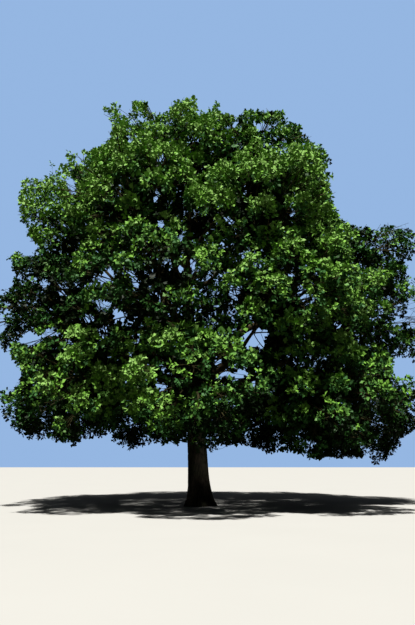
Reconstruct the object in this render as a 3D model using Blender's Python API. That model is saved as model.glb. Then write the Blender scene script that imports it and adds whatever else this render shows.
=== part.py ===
# An open-grown oak in full summer leaf: trunk, boughs and masses of foliage.
# Units are metres, +Z is up. The origin is the middle of the flat cut under the trunk,
# at ground level. +X is the tree's right and -Y its front, as the view shows it.

import math

import bmesh
import bpy
import numpy as np
from mathutils import Matrix, Vector

# Trunk: its fork, its radius at each height, and the buttresses at its foot.
FORK_HEIGHT = 5.2
TRUNK_RADII = ((0.0, 0.575), (0.12, 0.54), (0.35, 0.485), (0.8, 0.44), (1.3, 0.415),
               (2.2, 0.39), (3.2, 0.375), (4.2, 0.355), (5.2, 0.315))
TRUNK_SIDES = 16
BUTTRESS_COUNT = 5
BUTTRESS_SPREAD = 0.15
BUTTRESS_HEIGHT = 0.42
BUTTRESS_TURN = 0.5
TRUNK_LEAN = 0.062
TRUNK_STRAIGHTENS = 0.04

# Leader: the stem that runs on from the fork to the topmost mass.
LEADER_RADIUS = 0.3
LEADER_SINK = 0.35
LEADER_BEND = (-0.9, 0.25, 9.6)
LEADER_POINTS = 7

# Crown: tiers of foliage masses. A tier has the height of its masses, the height they
# gain for each metre to the right, how far it reaches on each side, their size, and the
# bearing of its first mass, counted anticlockwise from the right. The limb of every odd
# mass starts on the trunk or leader, between the two heights in "rooted", and the mass
# after it hangs on a fork of that limb. "rise" bends a limb up in the middle, and the
# limbs sway to either side in turn.
TIERS = (
    dict(name="low", count=7, first=13.0, height=4.35, tilt=-0.08, size=2.95,
         right=9.4, back=8.4, left=8.9, front=8.3, rooted=(3.5, 2.95), radius=0.17, rise=0.3),
    dict(name="mid", count=7, first=-4.0, height=7.55, tilt=0.0, size=3.2,
         right=9.7, back=8.8, left=9.3, front=8.4, rooted=(4.15, 4.9), radius=0.24, rise=-0.3),
    dict(name="high", count=6, first=0.0, height=11.05, tilt=-0.12, size=3.25,
         right=9.5, back=8.4, left=9.0, front=8.1, rooted=(6.0, 7.4), radius=0.2, rise=-0.5),
    dict(name="upper", count=5, first=238.0, height=13.85, tilt=0.0, size=3.0,
         right=6.8, back=6.5, left=6.9, front=6.3, rooted=(8.7, 10.2), radius=0.14, rise=-0.5),
)
TOP_MASS = dict(centre=(-0.1, -0.9, 14.95), size=2.75)
MASS_FLATNESS = 0.8
CROWN_HEART = (0.0, 0.0, 7.6)

# Limbs. A fork leaves its limb at a share of its length, and is thinner than the limb.
BOUGH_POINTS = 5
BOUGH_SWAY = 0.4
BOUGH_TIP_RADIUS = 0.06
TIP_TAPER = 0.7
FORK_POINTS = 4
FORK_PLACE = 0.4
FORK_RADIUS_SHARE = 0.62
ENTRY_SHARE = 0.84
RING_RESOLUTION = 2

# Foliage. Each leaf solid stands for a spray of leaves. Shares are of the mass's size.
# The first twigs, which point out of the crown, carry a leaf on both sides.
STEM_LENGTH = 0.3
STEM_OVERLAP = 0.02
STEM_END_SHARE = 0.12
STEM_TAPER = (1.0, 0.95, 0.7)
TWIGS_IN_MASS = 10
FULL_TWIGS = 2
TWIG_ROOT_SHARE = 0.7
TWIG_SHARE = 0.8
TWIG_RADIUS = 0.045
TWIG_TIP_RADIUS = 0.028
SIDE_LEAF_PLACE = 0.92
SIDE_LEAF_SCATTER = 0.04
SIDE_LEAF_ANGLE = math.radians(56)
LEAF_SHARE = 0.4
LEAF_WIDTH = 0.7
LEAF_THICKNESS = 0.2
LEAF_WIDEST = 0.12
LEAF_ROOT_DEPTH = 0.03
LEAF_SIZES = (1.0, 0.88, 0.76, 0.64, 0.52)
LEAF_FACES_OUT = 0.6
LEAF_SCATTER = 0.35
CORE_SHARE = 0.64
CORE_LUMPS = 0.14
CORE_PULL_IN = 0.93
CORE_LEAST_SHARE = 0.3
CORE_LEAVES = 13
CORE_LEAF_TILT = 0.5
LEAST_APART = math.radians(30)
SAME_WAY_COSINE = 0.72
SEED = 415

# Clearances: between touching pieces, between masses, and round a limb.
FIT_GAP = 0.0003
SPACE_MARGIN = 0.015
LIMB_MARGIN = 0.06
WELD_DISTANCE = 0.00005
SMOOTH_ANGLE = math.radians(50)

UP = np.array([0.0, 0.0, 1.0])
BARK_COLOUR = (0.115, 0.095, 0.075, 1.0)
LEAF_COLOUR = (0.07, 0.15, 0.035, 1.0)


def clear_scene():
    for thing in list(bpy.data.objects):
        bpy.data.objects.remove(thing, do_unlink=True)


def make_collection(name):
    group = bpy.data.collections.new(name)
    bpy.context.scene.collection.children.link(group)
    return group


def make_material(name, colour, roughness):
    material = bpy.data.materials.new(name)
    material.use_nodes = True
    shader = material.node_tree.nodes["Principled BSDF"]
    shader.inputs["Base Color"].default_value = colour
    shader.inputs["Roughness"].default_value = roughness
    shader.inputs["Metallic"].default_value = 0.0
    return material


def mesh_object(name, bm, group):
    mesh = bpy.data.meshes.new(name)
    bm.to_mesh(mesh)
    bm.free()
    thing = bpy.data.objects.new(name, mesh)
    group.objects.link(thing)
    return thing


def evaluated_mesh(thing):
    depsgraph = bpy.context.evaluated_depsgraph_get()
    return bpy.data.meshes.new_from_object(thing.evaluated_get(depsgraph))


def unit(vector):
    return vector / np.linalg.norm(vector)


def square_to(direction):
    # Two directions square to this one and to each other.
    side = unit(np.cross(direction, np.roll(direction, 1) + np.array([0.31, 0.17, 0.94])))
    return side, np.cross(direction, side)


# Lines that the trunk and limbs follow

def trunk_centre(height):
    lean = TRUNK_LEAN * height * (1.0 - TRUNK_STRAIGHTENS * height)
    return np.array([-lean, 0.0, height])


def trunk_radius(height, bearing):
    heights, radii = zip(*TRUNK_RADII)
    lobe = 0.5 + 0.5 * math.cos(BUTTRESS_COUNT * bearing + BUTTRESS_TURN)
    spread = BUTTRESS_SPREAD * math.exp(-height / BUTTRESS_HEIGHT)
    return float(np.interp(height, heights, radii)) + spread * lobe


def arc(start, bend, end, points):
    share = np.linspace(0.0, 1.0, points)[:, None]
    return (1 - share) ** 2 * start + 2 * share * (1 - share) * bend + share ** 2 * end


def point_along(path, share):
    place = share * (len(path) - 1)
    low = min(int(place), len(path) - 2)
    return path[low] + (path[low + 1] - path[low]) * (place - low)


def point_at_height(path, height):
    return np.array([np.interp(height, path[:, 2], path[:, axis]) for axis in range(3)])


def radius_along(limb, share):
    return float(np.interp(share, np.linspace(0, 1, len(limb["radii"])), limb["radii"]))


# The masses of foliage and the limbs that carry them

def tier_reach(tier, bearing):
    across = math.cos(bearing)
    along = math.sin(bearing)
    side = tier["right"] if across > 0 else tier["left"]
    depth = tier["back"] if along > 0 else tier["front"]
    return across ** 2 * side + along ** 2 * depth


def lay_out_masses():
    masses = []
    for tier in TIERS:
        for index in range(tier["count"]):
            bearing = math.radians(tier["first"] + 360.0 * index / tier["count"])
            out = tier_reach(tier, bearing) - tier["size"]
            x = out * math.cos(bearing)
            y = out * math.sin(bearing)
            centre = np.array([x, y, tier["height"] + tier["tilt"] * x])
            masses.append(dict(name=f"{tier['name']}_{index + 1}", tier=tier, index=index,
                               centre=centre, size=tier["size"]))
    masses.append(dict(name="top_1", tier=None, index=0,
                       centre=np.array(TOP_MASS["centre"]), size=TOP_MASS["size"]))
    for mass in masses:
        mass["radii"] = mass["size"] * np.array([1.0, 1.0, MASS_FLATNESS])
        mass["outward"] = unit((mass["centre"] - np.array(CROWN_HEART)) / mass["radii"])
    return masses


def entry_point(mass, origin):
    # Where a limb that comes from the origin enters the mass.
    towards = (origin - mass["centre"]) / mass["radii"]
    return mass["centre"] + unit(towards) * mass["radii"] * ENTRY_SHARE


def lay_out_limbs(masses):
    leader_start = trunk_centre(FORK_HEIGHT - LEADER_SINK)
    bend = np.array(LEADER_BEND)
    leader_path = arc(leader_start, bend, entry_point(masses[-1], bend), LEADER_POINTS)
    leader = dict(name="leader", path=leader_path, parent="trunk", mass=masses[-1],
                  radii=np.linspace(LEADER_RADIUS, BOUGH_TIP_RADIUS, len(leader_path)))
    limbs = [leader]
    latest = None
    for mass in masses[:-1]:
        tier = mass["tier"]
        if mass["index"] % 2 == 0:
            share = mass["index"] / max(tier["count"] - 1, 1)
            height = tier["rooted"][0] + (tier["rooted"][1] - tier["rooted"][0]) * share
            if height < FORK_HEIGHT:
                start = trunk_centre(height)
                parent = "trunk"
            else:
                start = point_at_height(leader_path, height)
                parent = leader
            base_radius = tier["radius"]
            points = BOUGH_POINTS
        else:
            start = point_along(latest["path"], FORK_PLACE)
            parent = latest
            base_radius = FORK_RADIUS_SHARE * radius_along(latest, FORK_PLACE)
            points = FORK_POINTS
        middle = (start + mass["centre"]) / 2 + np.array([0.0, 0.0, tier["rise"]])
        end = entry_point(mass, middle)
        sideways = unit(np.cross(end - start, (0.0, 0.0, 1.0)))
        sway = sideways * (BOUGH_SWAY if mass["index"] % 4 < 2 else -BOUGH_SWAY)
        bend = (start + end) / 2 + np.array([0.0, 0.0, tier["rise"]]) + sway
        path = arc(start, bend, end, points)
        tip = min(BOUGH_TIP_RADIUS, base_radius * TIP_TAPER)
        limb = dict(name="bough_" + mass["name"], path=path, parent=parent, mass=mass,
                    radii=np.linspace(base_radius, tip, len(path)))
        limbs.append(limb)
        if mass["index"] % 2 == 0:
            latest = limb
    return limbs


# Solids of the trunk and limbs

def trunk_mesh(grow=0.0):
    bm = bmesh.new()
    rings = []
    for height, _ in TRUNK_RADII:
        middle = trunk_centre(height)
        middle[2] += grow if height == FORK_HEIGHT else 0.0
        ring = bmesh.ops.create_circle(bm, segments=TRUNK_SIDES, radius=1.0)["verts"]
        for vertex in ring:
            bearing = math.atan2(vertex.co.y, vertex.co.x)
            radius = trunk_radius(height, bearing) + grow
            vertex.co = Vector(middle) + Vector((math.cos(bearing), math.sin(bearing), 0)) * radius
        rings.append({edge for vertex in ring for edge in vertex.link_edges})
    for lower, upper in zip(rings, rings[1:]):
        bmesh.ops.bridge_loops(bm, edges=list(lower | upper))
    bmesh.ops.holes_fill(bm, edges=list(rings[0] | rings[-1]), sides=0)
    bmesh.ops.triangulate(bm, faces=bm.faces[:], quad_method="FIXED")
    bmesh.ops.recalc_face_normals(bm, faces=bm.faces[:])
    return bm


def limb_mesh(limb, group, grow=0.0):
    curve = bpy.data.curves.new(limb["name"] + "_line", "CURVE")
    curve.dimensions = "3D"
    curve.twist_mode = "MINIMUM"
    curve.bevel_depth = 1.0
    curve.bevel_resolution = RING_RESOLUTION
    curve.use_fill_caps = True
    spline = curve.splines.new("POLY")
    spline.points.add(len(limb["path"]) - 1)
    for point, place, radius in zip(spline.points, limb["path"], limb["radii"]):
        point.co = (*place, 1.0)
        point.radius = radius + grow
    line = bpy.data.objects.new(limb["name"] + "_line", curve)
    group.objects.link(line)
    mesh = evaluated_mesh(line)
    bpy.data.objects.remove(line, do_unlink=True)
    bm = bmesh.new()
    bm.from_mesh(mesh)
    bpy.data.meshes.remove(mesh)
    bmesh.ops.remove_doubles(bm, verts=bm.verts[:], dist=WELD_DISTANCE)
    bmesh.ops.triangulate(bm, faces=bm.faces[:], quad_method="FIXED")
    bmesh.ops.recalc_face_normals(bm, faces=bm.faces[:])
    return bm


def cut_away(thing, cutter):
    cut = thing.modifiers.new("saddle", "BOOLEAN")
    cut.operation = "DIFFERENCE"
    cut.solver = "EXACT"
    cut.object = cutter
    replace_mesh(thing, evaluated_mesh(thing))


def replace_mesh(thing, mesh):
    thing.modifiers.clear()
    old = thing.data
    mesh.name = thing.name
    thing.data = mesh
    bpy.data.meshes.remove(old)
    bm = bmesh.new()
    bm.from_mesh(mesh)
    keep_largest_shell(bm)
    bm.to_mesh(mesh)
    bm.free()


def keep_largest_shell(bm):
    # A loose scrap is dropped, and a sealed hollow is filled by dropping its wall.
    left = set(bm.verts)
    shells = []
    while left:
        todo = [left.pop()]
        shell = set(todo)
        while todo:
            for edge in todo.pop().link_edges:
                for vertex in edge.verts:
                    if vertex not in shell:
                        shell.add(vertex)
                        todo.append(vertex)
        left -= shell
        shells.append(shell)
    shells.sort(key=len)
    scraps = [vertex for shell in shells[:-1] for vertex in shell]
    bmesh.ops.delete(bm, geom=scraps, context="VERTS")


# Room for foliage

def limb_segments(limbs):
    starts, ends, radii = [], [], []
    stations = [trunk_centre(height) for height, _ in TRUNK_RADII]
    girths = [radius for _, radius in TRUNK_RADII]
    lines = [(stations, girths)] + [(limb["path"], limb["radii"]) for limb in limbs]
    for path, girth in lines:
        for index in range(len(path) - 1):
            starts.append(path[index])
            ends.append(path[index + 1])
            radii.append(max(girth[index], girth[index + 1]))
    return np.array(starts), np.array(ends), np.array(radii)


def distance_to_limbs(points, segments):
    starts, ends, radii = segments
    along = ends - starts
    offset = points[:, None, :] - starts[None]
    share = (offset * along).sum(2) / (along ** 2).sum(1)
    nearest = starts + np.clip(share, 0, 1)[:, :, None] * along
    return (np.linalg.norm(points[:, None, :] - nearest, axis=2) - radii).min(axis=1)


def in_own_space(points, mass, masses):
    # Inside the mass's ellipsoid, and on its side of the plane to each neighbour.
    stretch = np.array([1.0, 1.0, 1.0 / MASS_FLATNESS])
    power = (((points - mass["centre"]) * stretch) ** 2).sum(1) - mass["size"] ** 2
    inside = power < 0
    for other in masses:
        if other is mass:
            continue
        theirs = (((points - other["centre"]) * stretch) ** 2).sum(1) - other["size"] ** 2
        slope = 2 * np.linalg.norm((other["centre"] - mass["centre"]) * stretch ** 2)
        inside &= (theirs - power) / slope > SPACE_MARGIN
    return inside


def has_room(points, mass, masses, segments):
    if not in_own_space(points, mass, masses).all():
        return False
    return distance_to_limbs(points, segments).min() > LIMB_MARGIN


# Solids of the foliage

def even_directions(count, pole, turn):
    # Directions spread evenly over a sphere, the first of them along the pole.
    side, other = square_to(pole)
    directions = []
    for index in range(count):
        height = 1.0 - 2.0 * index / (count - 0.5)
        ring = math.sqrt(max(0.0, 1.0 - height ** 2))
        angle = turn + index * math.pi * (3.0 - math.sqrt(5.0))
        directions.append(pole * height + (side * math.cos(angle) + other * math.sin(angle)) * ring)
    return directions


def add_twig(start, end, start_radius, end_radius, group):
    bm = bmesh.new()
    line = Vector(end - start)
    turn = line.to_track_quat("Z", "Y").to_matrix().to_4x4()
    place = Matrix.Translation(Vector((start + end) / 2)) @ turn
    bmesh.ops.create_cone(bm, cap_ends=True, segments=3, radius1=start_radius,
                          radius2=end_radius, depth=line.length, matrix=place)
    return mesh_object("twig", bm, group)


def leaf_frame(root, heading, facing):
    across = unit(np.cross(facing, heading))
    return root, heading, across, np.cross(heading, across)


def leaf_samples(frame, length):
    root, heading, across, facing = frame
    points = []
    for share in np.linspace(0.0, 1.0, 8):
        widest = 0.5 + LEAF_WIDEST
        width = share / widest if share < widest else (1 - share) / (1 - widest)
        for side in (-1.0, -0.5, 0.0, 0.5, 1.0):
            points.append(root + heading * length * share
                          + across * side * width * length * LEAF_WIDTH / 2)
    middle = root + heading * length * (0.5 + LEAF_WIDEST)
    points.append(middle + facing * length * LEAF_THICKNESS / 2)
    points.append(middle - facing * length * LEAF_THICKNESS / 2)
    return np.array(points)


def add_leaf(frame, length, group):
    root, heading, across, facing = frame
    bm = bmesh.new()
    corners = bmesh.ops.create_uvsphere(bm, u_segments=4, v_segments=2, radius=1.0)["verts"]
    for vertex in corners:
        x, y, z = vertex.co
        share = 0.5 + z / 2 + (LEAF_WIDEST if abs(z) < 0.5 else 0.0)
        vertex.co = Vector(root + heading * length * share
                           + across * x * length * LEAF_WIDTH / 2
                           + facing * y * length * LEAF_THICKNESS / 2)
    bmesh.ops.recalc_face_normals(bm, faces=bm.faces[:])
    return mesh_object("leaf", bm, group)


def core_share(mass, segments):
    # The core keeps clear of every limb that passes by.
    starts, ends, radii = segments
    share = CORE_SHARE
    for step in np.linspace(0.0, 1.0, 9):
        places = (starts + (ends - starts) * step - mass["centre"]) / mass["radii"]
        room = np.linalg.norm(places, axis=1) - (radii + LIMB_MARGIN) / mass["radii"][2]
        share = min(share, room.min() / (1.0 + CORE_LUMPS))
    return share


def add_core(mass, masses, share, rng, group):
    bm = bmesh.new()
    for vertex in bmesh.ops.create_icosphere(bm, subdivisions=2, radius=1.0)["verts"]:
        lump = share * (1.0 + CORE_LUMPS * rng.uniform(-1.0, 1.0))
        direction = np.array(vertex.co) * mass["radii"]
        while not in_own_space((mass["centre"] + direction * lump)[None], mass, masses).all():
            lump *= CORE_PULL_IN
        vertex.co = Vector(mass["centre"] + direction * lump)
    return mesh_object("core", bm, group)


def place_leaf(mass, masses, segments, root, line, rng, group):
    # The leaf takes the largest size that there is room for, or is skipped.
    facing = UP + LEAF_FACES_OUT * mass["outward"] + rng.normal(0.0, LEAF_SCATTER, 3)
    frame = leaf_frame(root, line, facing)
    for scale in LEAF_SIZES:
        length = mass["size"] * LEAF_SHARE * scale
        if has_room(leaf_samples(frame, length), mass, masses, segments):
            add_leaf(frame, length, group)
            return 1
    return 0


def grow_twig(mass, masses, segments, start, direction, side_leaves, rng, group):
    end = mass["centre"] + mass["radii"] * direction * TWIG_SHARE
    steps = start + (end - start) * np.linspace(0.0, 1.0, 16)[:, None]
    if not has_room(steps, mass, masses, segments):
        return 0
    add_twig(start, end, TWIG_RADIUS, TWIG_TIP_RADIUS, group)
    heading = unit(end - start)
    side, other = square_to(heading)
    turn = rng.uniform(0.0, math.pi)
    plans = [(end, heading)]
    for angle in (turn, turn + math.pi)[:side_leaves]:
        leaning = side * math.cos(angle) + other * math.sin(angle)
        place = start + (end - start) * (SIDE_LEAF_PLACE + rng.uniform(-1, 1) * SIDE_LEAF_SCATTER)
        line = heading * math.cos(SIDE_LEAF_ANGLE) + leaning * math.sin(SIDE_LEAF_ANGLE)
        plans.append((place, line))
    return sum(place_leaf(mass, masses, segments, place - line * LEAF_ROOT_DEPTH, line, rng, group)
               for place, line in plans)


def grow_mass(mass, masses, limb, segments, rng, parts, material):
    bits = make_collection(mass["name"] + "_bits")
    tip = limb["path"][-1]
    heading = unit(tip - limb["path"][-2])
    stem_bend = tip + heading * STEM_LENGTH
    hub = mass["centre"] + (stem_bend - mass["centre"]) * STEM_END_SHARE
    girth = [limb["radii"][-1] * taper for taper in STEM_TAPER]
    stem = add_twig(tip + heading * FIT_GAP, stem_bend, girth[0], girth[1], bits)
    add_twig(stem_bend - unit(hub - stem_bend) * STEM_OVERLAP, hub, girth[1], girth[2], bits)
    share = core_share(mass, segments)
    has_core = share >= CORE_LEAST_SHARE
    if has_core:
        add_core(mass, masses, share, rng, bits)
    leaves = 0
    turn = rng.uniform(0.0, 2.0 * math.pi)
    inward = unit((stem_bend - mass["centre"]) / mass["radii"])
    taken = [inward]
    for order, direction in enumerate(even_directions(TWIGS_IN_MASS, mass["outward"], turn)):
        if float(np.dot(direction, inward)) > SAME_WAY_COSINE:
            continue
        start = hub
        if has_core:
            start = mass["centre"] + mass["radii"] * direction * share * TWIG_ROOT_SHARE
        side_leaves = 2 if order < FULL_TWIGS else 1
        leaves += grow_twig(mass, masses, segments, start, direction, side_leaves, rng, bits)
        taken.append(direction)
    core_leaves = CORE_LEAVES if has_core else 0
    for direction in even_directions(core_leaves, mass["outward"], turn + 1.0):
        if max(float(np.dot(direction, other)) for other in taken) > math.cos(LEAST_APART):
            continue
        lean = np.cross(direction, rng.normal(0.0, 1.0, 3))
        line = unit(unit(direction * mass["radii"]) + unit(lean) * CORE_LEAF_TILT)
        root = mass["centre"] + mass["radii"] * direction * share * (1 - CORE_LUMPS)
        leaves += place_leaf(mass, masses, segments, root - line * LEAF_ROOT_DEPTH, line, rng, bits)
    bits.objects.unlink(stem)
    parts.objects.link(stem)
    stem.name = "foliage_" + mass["name"]
    join = stem.modifiers.new("join", "BOOLEAN")
    join.operation = "UNION"
    join.solver = "EXACT"
    join.operand_type = "COLLECTION"
    join.collection = bits
    replace_mesh(stem, evaluated_mesh(stem))
    for bit in list(bits.objects):
        bpy.data.objects.remove(bit, do_unlink=True)
    bpy.data.collections.remove(bits)
    stem.data.materials.clear()
    stem.data.materials.append(material)
    print(stem.name, "leaves", leaves, "core", round(share, 2), "faces", len(stem.data.polygons))
    return stem


def finish_limb(thing, material):
    thing.data.materials.clear()
    thing.data.materials.append(material)
    thing.data.shade_smooth()
    thing.data.set_sharp_from_angle(angle=SMOOTH_ANGLE)


def main():
    clear_scene()
    parts = make_collection("oak_tree")
    cutters = make_collection("cutters")
    bark = make_material("oak_bark", BARK_COLOUR, 0.9)
    foliage = make_material("oak_leaves", LEAF_COLOUR, 0.55)
    rng = np.random.default_rng(SEED)

    masses = lay_out_masses()
    limbs = lay_out_limbs(masses)
    segments = limb_segments(limbs)

    trunk = mesh_object("trunk", trunk_mesh(), parts)
    finish_limb(trunk, bark)
    for limb in limbs:
        bough = mesh_object(limb["name"], limb_mesh(limb, parts), parts)
        if limb["parent"] == "trunk":
            grown = trunk_mesh(FIT_GAP)
        else:
            grown = limb_mesh(limb["parent"], cutters, FIT_GAP)
        cutter = mesh_object(limb["name"] + "_saddle", grown, cutters)
        cutter.hide_render = True
        cutter.display_type = "WIRE"
        cut_away(bough, cutter)
        bpy.data.objects.remove(cutter, do_unlink=True)
        finish_limb(bough, bark)
    for limb in limbs:
        grow_mass(limb["mass"], masses, limb, segments, rng, parts, foliage)


main()
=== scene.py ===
import math

import bmesh
import bpy
import numpy as np
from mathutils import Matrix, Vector, noise


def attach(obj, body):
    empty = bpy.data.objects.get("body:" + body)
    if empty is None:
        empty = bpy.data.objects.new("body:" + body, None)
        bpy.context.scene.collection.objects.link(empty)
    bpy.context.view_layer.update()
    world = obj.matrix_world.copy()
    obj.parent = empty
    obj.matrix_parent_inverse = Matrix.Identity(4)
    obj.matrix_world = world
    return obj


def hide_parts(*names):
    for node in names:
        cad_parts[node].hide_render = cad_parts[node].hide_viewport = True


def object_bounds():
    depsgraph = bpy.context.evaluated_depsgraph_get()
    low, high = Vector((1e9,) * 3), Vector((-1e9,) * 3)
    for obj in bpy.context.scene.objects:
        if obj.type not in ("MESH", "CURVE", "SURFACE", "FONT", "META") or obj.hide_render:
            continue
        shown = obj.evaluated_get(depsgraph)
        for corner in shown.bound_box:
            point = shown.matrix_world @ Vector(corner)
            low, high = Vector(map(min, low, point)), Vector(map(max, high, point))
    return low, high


# An open-grown oak in full summer leaf. Metres, +Z up, the trunk's cut foot at the origin.

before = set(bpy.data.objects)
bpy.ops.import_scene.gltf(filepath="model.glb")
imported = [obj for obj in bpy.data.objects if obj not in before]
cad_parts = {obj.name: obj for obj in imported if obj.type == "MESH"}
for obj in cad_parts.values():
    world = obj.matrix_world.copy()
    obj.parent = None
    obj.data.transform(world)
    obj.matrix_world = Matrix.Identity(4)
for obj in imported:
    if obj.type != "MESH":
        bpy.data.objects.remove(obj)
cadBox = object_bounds()
print("frame loaded,", len(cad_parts), "nodes")

boxLow = np.array(cadBox[0])
boxHigh = np.array(cadBox[1])
up = np.array([0.0, 0.0, 1.0])
fullTurn = 2.0 * math.pi
goldenAngle = math.pi * (3.0 - math.sqrt(5.0))
# keeps a direction whose parts are rolled round from lying along itself
tilt = np.array([0.31, 0.17, 0.94])


def addObject(name, data):
    thing = bpy.data.objects.new(name, data)
    bpy.context.scene.collection.objects.link(thing)
    return thing


def meshOf(name, bm):
    mesh = bpy.data.meshes.new(name)
    bm.to_mesh(mesh)
    bm.free()
    return mesh


# Camera

cameraView = dict(place=(0.3, -25.6, 1.6), pitch=14.08, lens=35.0, sensor=36.0, farthest=1000.0,
                  pixels=(415.0, 625.0))


def addCamera():
    data = bpy.data.cameras.new("treeCamera")
    data.lens = cameraView["lens"]
    data.sensor_width = cameraView["sensor"]
    data.clip_end = cameraView["farthest"]
    camera = addObject("treeCamera", data)
    camera.location = cameraView["place"]
    camera.rotation_euler = (math.radians(90.0 + cameraView["pitch"]), 0.0, 0.0)
    bpy.context.scene.camera = camera


addCamera()


# The tree's lines: the same sizes and rules as its solids have

trunk = dict(
    forkHeight=5.2,
    radii=((0.0, 0.575), (0.12, 0.54), (0.35, 0.485), (0.8, 0.44), (1.3, 0.415),
           (2.2, 0.39), (3.2, 0.375), (4.2, 0.355), (5.2, 0.315)),
    buttresses=5, buttressSpread=0.15, buttressHeight=0.42, buttressTurn=0.5,
    lean=0.062, straightens=0.04, points=60, segmentPoints=10,
    # above the fork the trunk's bark runs on into the leader, ever thinner
    runsOn=0.7, tucksIn=0.09,
)
leader = dict(radius=0.3, sink=0.35, bend=(-0.9, 0.25, 9.6), points=75)
tiers = (
    dict(name="low", count=7, first=13.0, height=4.35, tilt=-0.08, size=2.95,
         right=9.4, back=8.4, left=8.9, front=8.3, rooted=(3.5, 2.95), radius=0.17, rise=0.3),
    dict(name="mid", count=7, first=-4.0, height=7.55, tilt=0.0, size=3.2,
         right=9.7, back=8.8, left=9.3, front=8.4, rooted=(4.15, 4.9), radius=0.24, rise=-0.3),
    dict(name="high", count=6, first=0.0, height=11.05, tilt=-0.12, size=3.25,
         right=9.5, back=8.4, left=9.0, front=8.1, rooted=(6.0, 7.4), radius=0.2, rise=-0.5),
    dict(name="upper", count=5, first=238.0, height=13.85, tilt=0.0, size=3.0,
         right=6.8, back=6.5, left=6.9, front=6.3, rooted=(8.7, 10.2), radius=0.14, rise=-0.5),
)
topMass = dict(centre=(-0.1, -0.9, 14.95), size=2.75)
crown = dict(heart=(0.0, 0.0, 7.6), flatness=0.8, seed=31)
limbRule = dict(
    sway=0.4, tipRadius=0.06, tipTaper=0.7, forkPlace=0.4, forkShare=0.62, entryShare=0.84,
    points=25, segmentStep=3, tipPoints=4,
    # the stem that runs on from a limb's tip to the hub of its mass
    stemReach=0.6, hubShare=0.12, stemPoints=12, stemTaper=0.7,
)

heart = np.array(crown["heart"])
stretch = np.array([1.0, 1.0, 1.0 / crown["flatness"]])


def unit(vectors):
    return vectors / np.linalg.norm(vectors, axis=-1, keepdims=True)


def squareTo(directions):
    # two directions square to each one given, and to each other
    side = unit(np.cross(directions, np.roll(directions, 1, axis=-1) + tilt))
    return side, np.cross(directions, side)


def evenDirections(count, poles, turns, cover=1.0):
    # directions spread evenly round each pole, over a share of the sphere
    side, other = squareTo(poles)
    index = np.arange(count)
    height = 1.0 - 2.0 * cover * index / (count - 0.5)
    ring = np.sqrt(np.maximum(0.0, 1.0 - height ** 2))
    angle = np.asarray(turns)[:, None] + index * goldenAngle
    across = side[:, None] * np.cos(angle)[..., None] + other[:, None] * np.sin(angle)[..., None]
    return poles[:, None] * height[:, None] + across * ring[:, None]


def pointsAt(values, known, line):
    # the line's points where the known values reach the given ones
    return np.stack([np.interp(values, known, line[:, axis]) for axis in range(3)], axis=-1)


def pointAlong(path, share):
    return pointsAt(share * (len(path) - 1), np.arange(len(path)), path)


def runsAlong(path):
    return np.concatenate([[0.0], np.cumsum(np.linalg.norm(np.diff(path, axis=0), axis=1))])


def arc(start, bend, end, points):
    # one line, or many at once
    share = np.linspace(0.0, 1.0, points)[:, None]
    start, bend, end = (place[..., None, :] for place in (start, bend, end))
    return (1 - share) ** 2 * start + 2 * share * (1 - share) * bend + share ** 2 * end


def trunkCentre(height):
    lean = trunk["lean"] * height * (1.0 - trunk["straightens"] * height)
    return np.array([-lean, 0.0, height])


def tierReach(tier, bearing):
    across, along = math.cos(bearing), math.sin(bearing)
    side = tier["right"] if across > 0 else tier["left"]
    depth = tier["back"] if along > 0 else tier["front"]
    return across ** 2 * side + along ** 2 * depth


def layOutMasses():
    masses = []
    for tier in tiers:
        for index in range(tier["count"]):
            bearing = math.radians(tier["first"] + 360.0 * index / tier["count"])
            out = tierReach(tier, bearing) - tier["size"]
            x, y = out * math.cos(bearing), out * math.sin(bearing)
            centre = np.array([x, y, tier["height"] + tier["tilt"] * x])
            masses.append(dict(name=f"{tier['name']}_{index + 1}", tier=tier, index=index,
                               centre=centre, size=tier["size"]))
    masses.append(dict(name="top_1", tier=None, index=0,
                       centre=np.array(topMass["centre"]), size=topMass["size"]))
    for mass in masses:
        mass["radii"] = mass["size"] / stretch
        mass["outward"] = unit((mass["centre"] - heart) / mass["radii"])
    return masses


def entryPoint(mass, origin):
    # where a limb that comes from the origin enters the mass
    towards = (origin - mass["centre"]) / mass["radii"]
    return mass["centre"] + unit(towards) * mass["radii"] * limbRule["entryShare"]


def layOutLimbs(masses):
    start = trunkCentre(trunk["forkHeight"] - leader["sink"])
    bend = np.array(leader["bend"])
    path = arc(start, bend, entryPoint(masses[-1], bend), leader["points"])
    limbs = [dict(name="leader", path=path, mass=masses[-1], onTrunk=False,
                  radii=np.linspace(leader["radius"], limbRule["tipRadius"], len(path)))]
    latest = None
    for mass in masses[:-1]:
        tier = mass["tier"]
        # every second bough of a tier leaves the one before it at a fork
        forks = mass["index"] % 2 == 1
        onTrunk = False
        if forks:
            start = pointAlong(latest["path"], limbRule["forkPlace"])
            place = limbRule["forkPlace"] * (len(latest["radii"]) - 1)
            baseRadius = limbRule["forkShare"] * latest["radii"][round(place)]
        else:
            share = mass["index"] / max(tier["count"] - 1, 1)
            height = tier["rooted"][0] + (tier["rooted"][1] - tier["rooted"][0]) * share
            onTrunk = height < trunk["forkHeight"]
            start = trunkCentre(height) if onTrunk else pointsAt(height, path[:, 2], path)
            baseRadius = tier["radius"]
        rise = np.array([0.0, 0.0, tier["rise"]])
        end = entryPoint(mass, (start + mass["centre"]) / 2 + rise)
        sideways = unit(np.cross(end - start, up))
        sway = sideways * limbRule["sway"] * (1 if mass["index"] % 4 < 2 else -1)
        line = arc(start, (start + end) / 2 + rise + sway, end, limbRule["points"])
        tip = min(limbRule["tipRadius"], baseRadius * limbRule["tipTaper"])
        limb = dict(name="bough_" + mass["name"], path=line, mass=mass, onTrunk=onTrunk,
                    radii=np.linspace(baseRadius, tip, len(line)))
        limbs.append(limb)
        if not forks:
            latest = limb
    return limbs


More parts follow.
